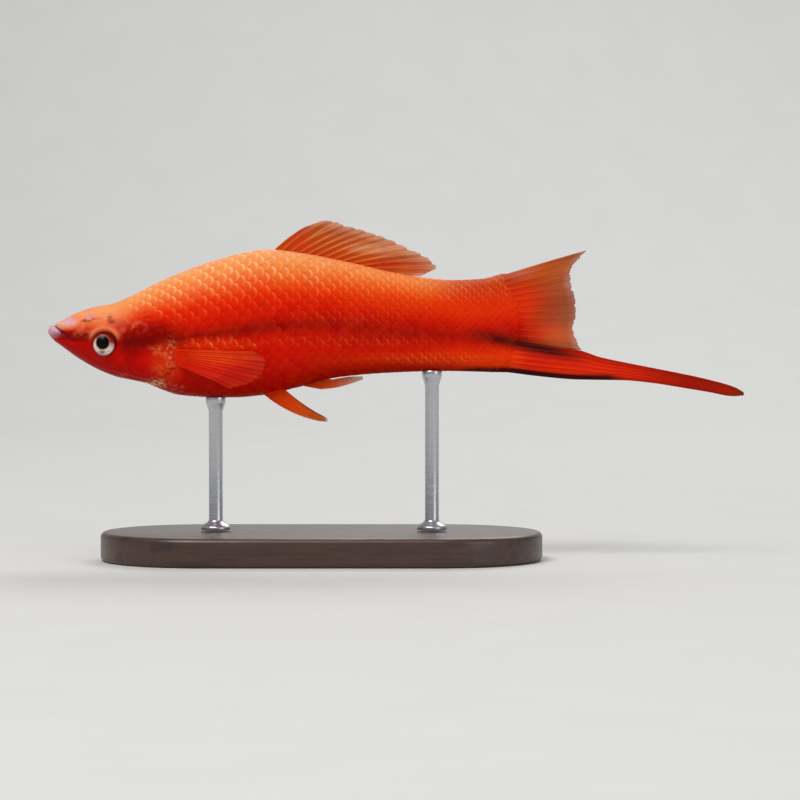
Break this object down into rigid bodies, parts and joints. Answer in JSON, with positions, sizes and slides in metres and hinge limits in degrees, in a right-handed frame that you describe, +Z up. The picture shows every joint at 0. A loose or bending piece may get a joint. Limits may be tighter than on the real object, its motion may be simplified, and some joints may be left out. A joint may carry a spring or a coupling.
{
  "type": "swordtail",
  "caption": "Male red swordtail fish as a life-size still model: slender body, folded dorsal fin, long sword on the tail fin, held by two rods over a flat base.",
  "frame": {"origin": "on the ground, under the middle of the model's length and width", "axes": "+Z up, +X from the snout to the tip of the sword, -Y out of the fish's left flank"},
  "size_m": [0.12, 0.036, 0.0585],
  "materials": {
    "skin": "wet scaled skin, orange above and crimson below",
    "lips": "smooth, pinkish mauve",
    "eye": "high gloss, silver iris with a black pupil",
    "fins": "thin translucent orange membrane with raised rays",
    "sword": "satin scarlet with black edges",
    "stand_wood": "dark stained and waxed",
    "stand_steel": "satin"
  },
  "bodies": {
    "root": {"head": "skin", "lower_jaw": "lips", "eye_left": "eye", "eye_right": "eye", "gill_cover_left": "skin", "gill_cover_right": "skin", "trunk": "skin", "tail_stem": "skin", "dorsal_fin": "fins", "tail_fin": "fins", "sword": "sword", "pectoral_fin_left": "fins", "pectoral_fin_right": "fins", "pelvic_fin_left": "fins", "pelvic_fin_right": "fins", "anal_fin": "fins", "stand_base": "stand_wood", "stand_rod_front": "stand_steel", "stand_rod_rear": "stand_steel"}
  },
  "joints": []
}
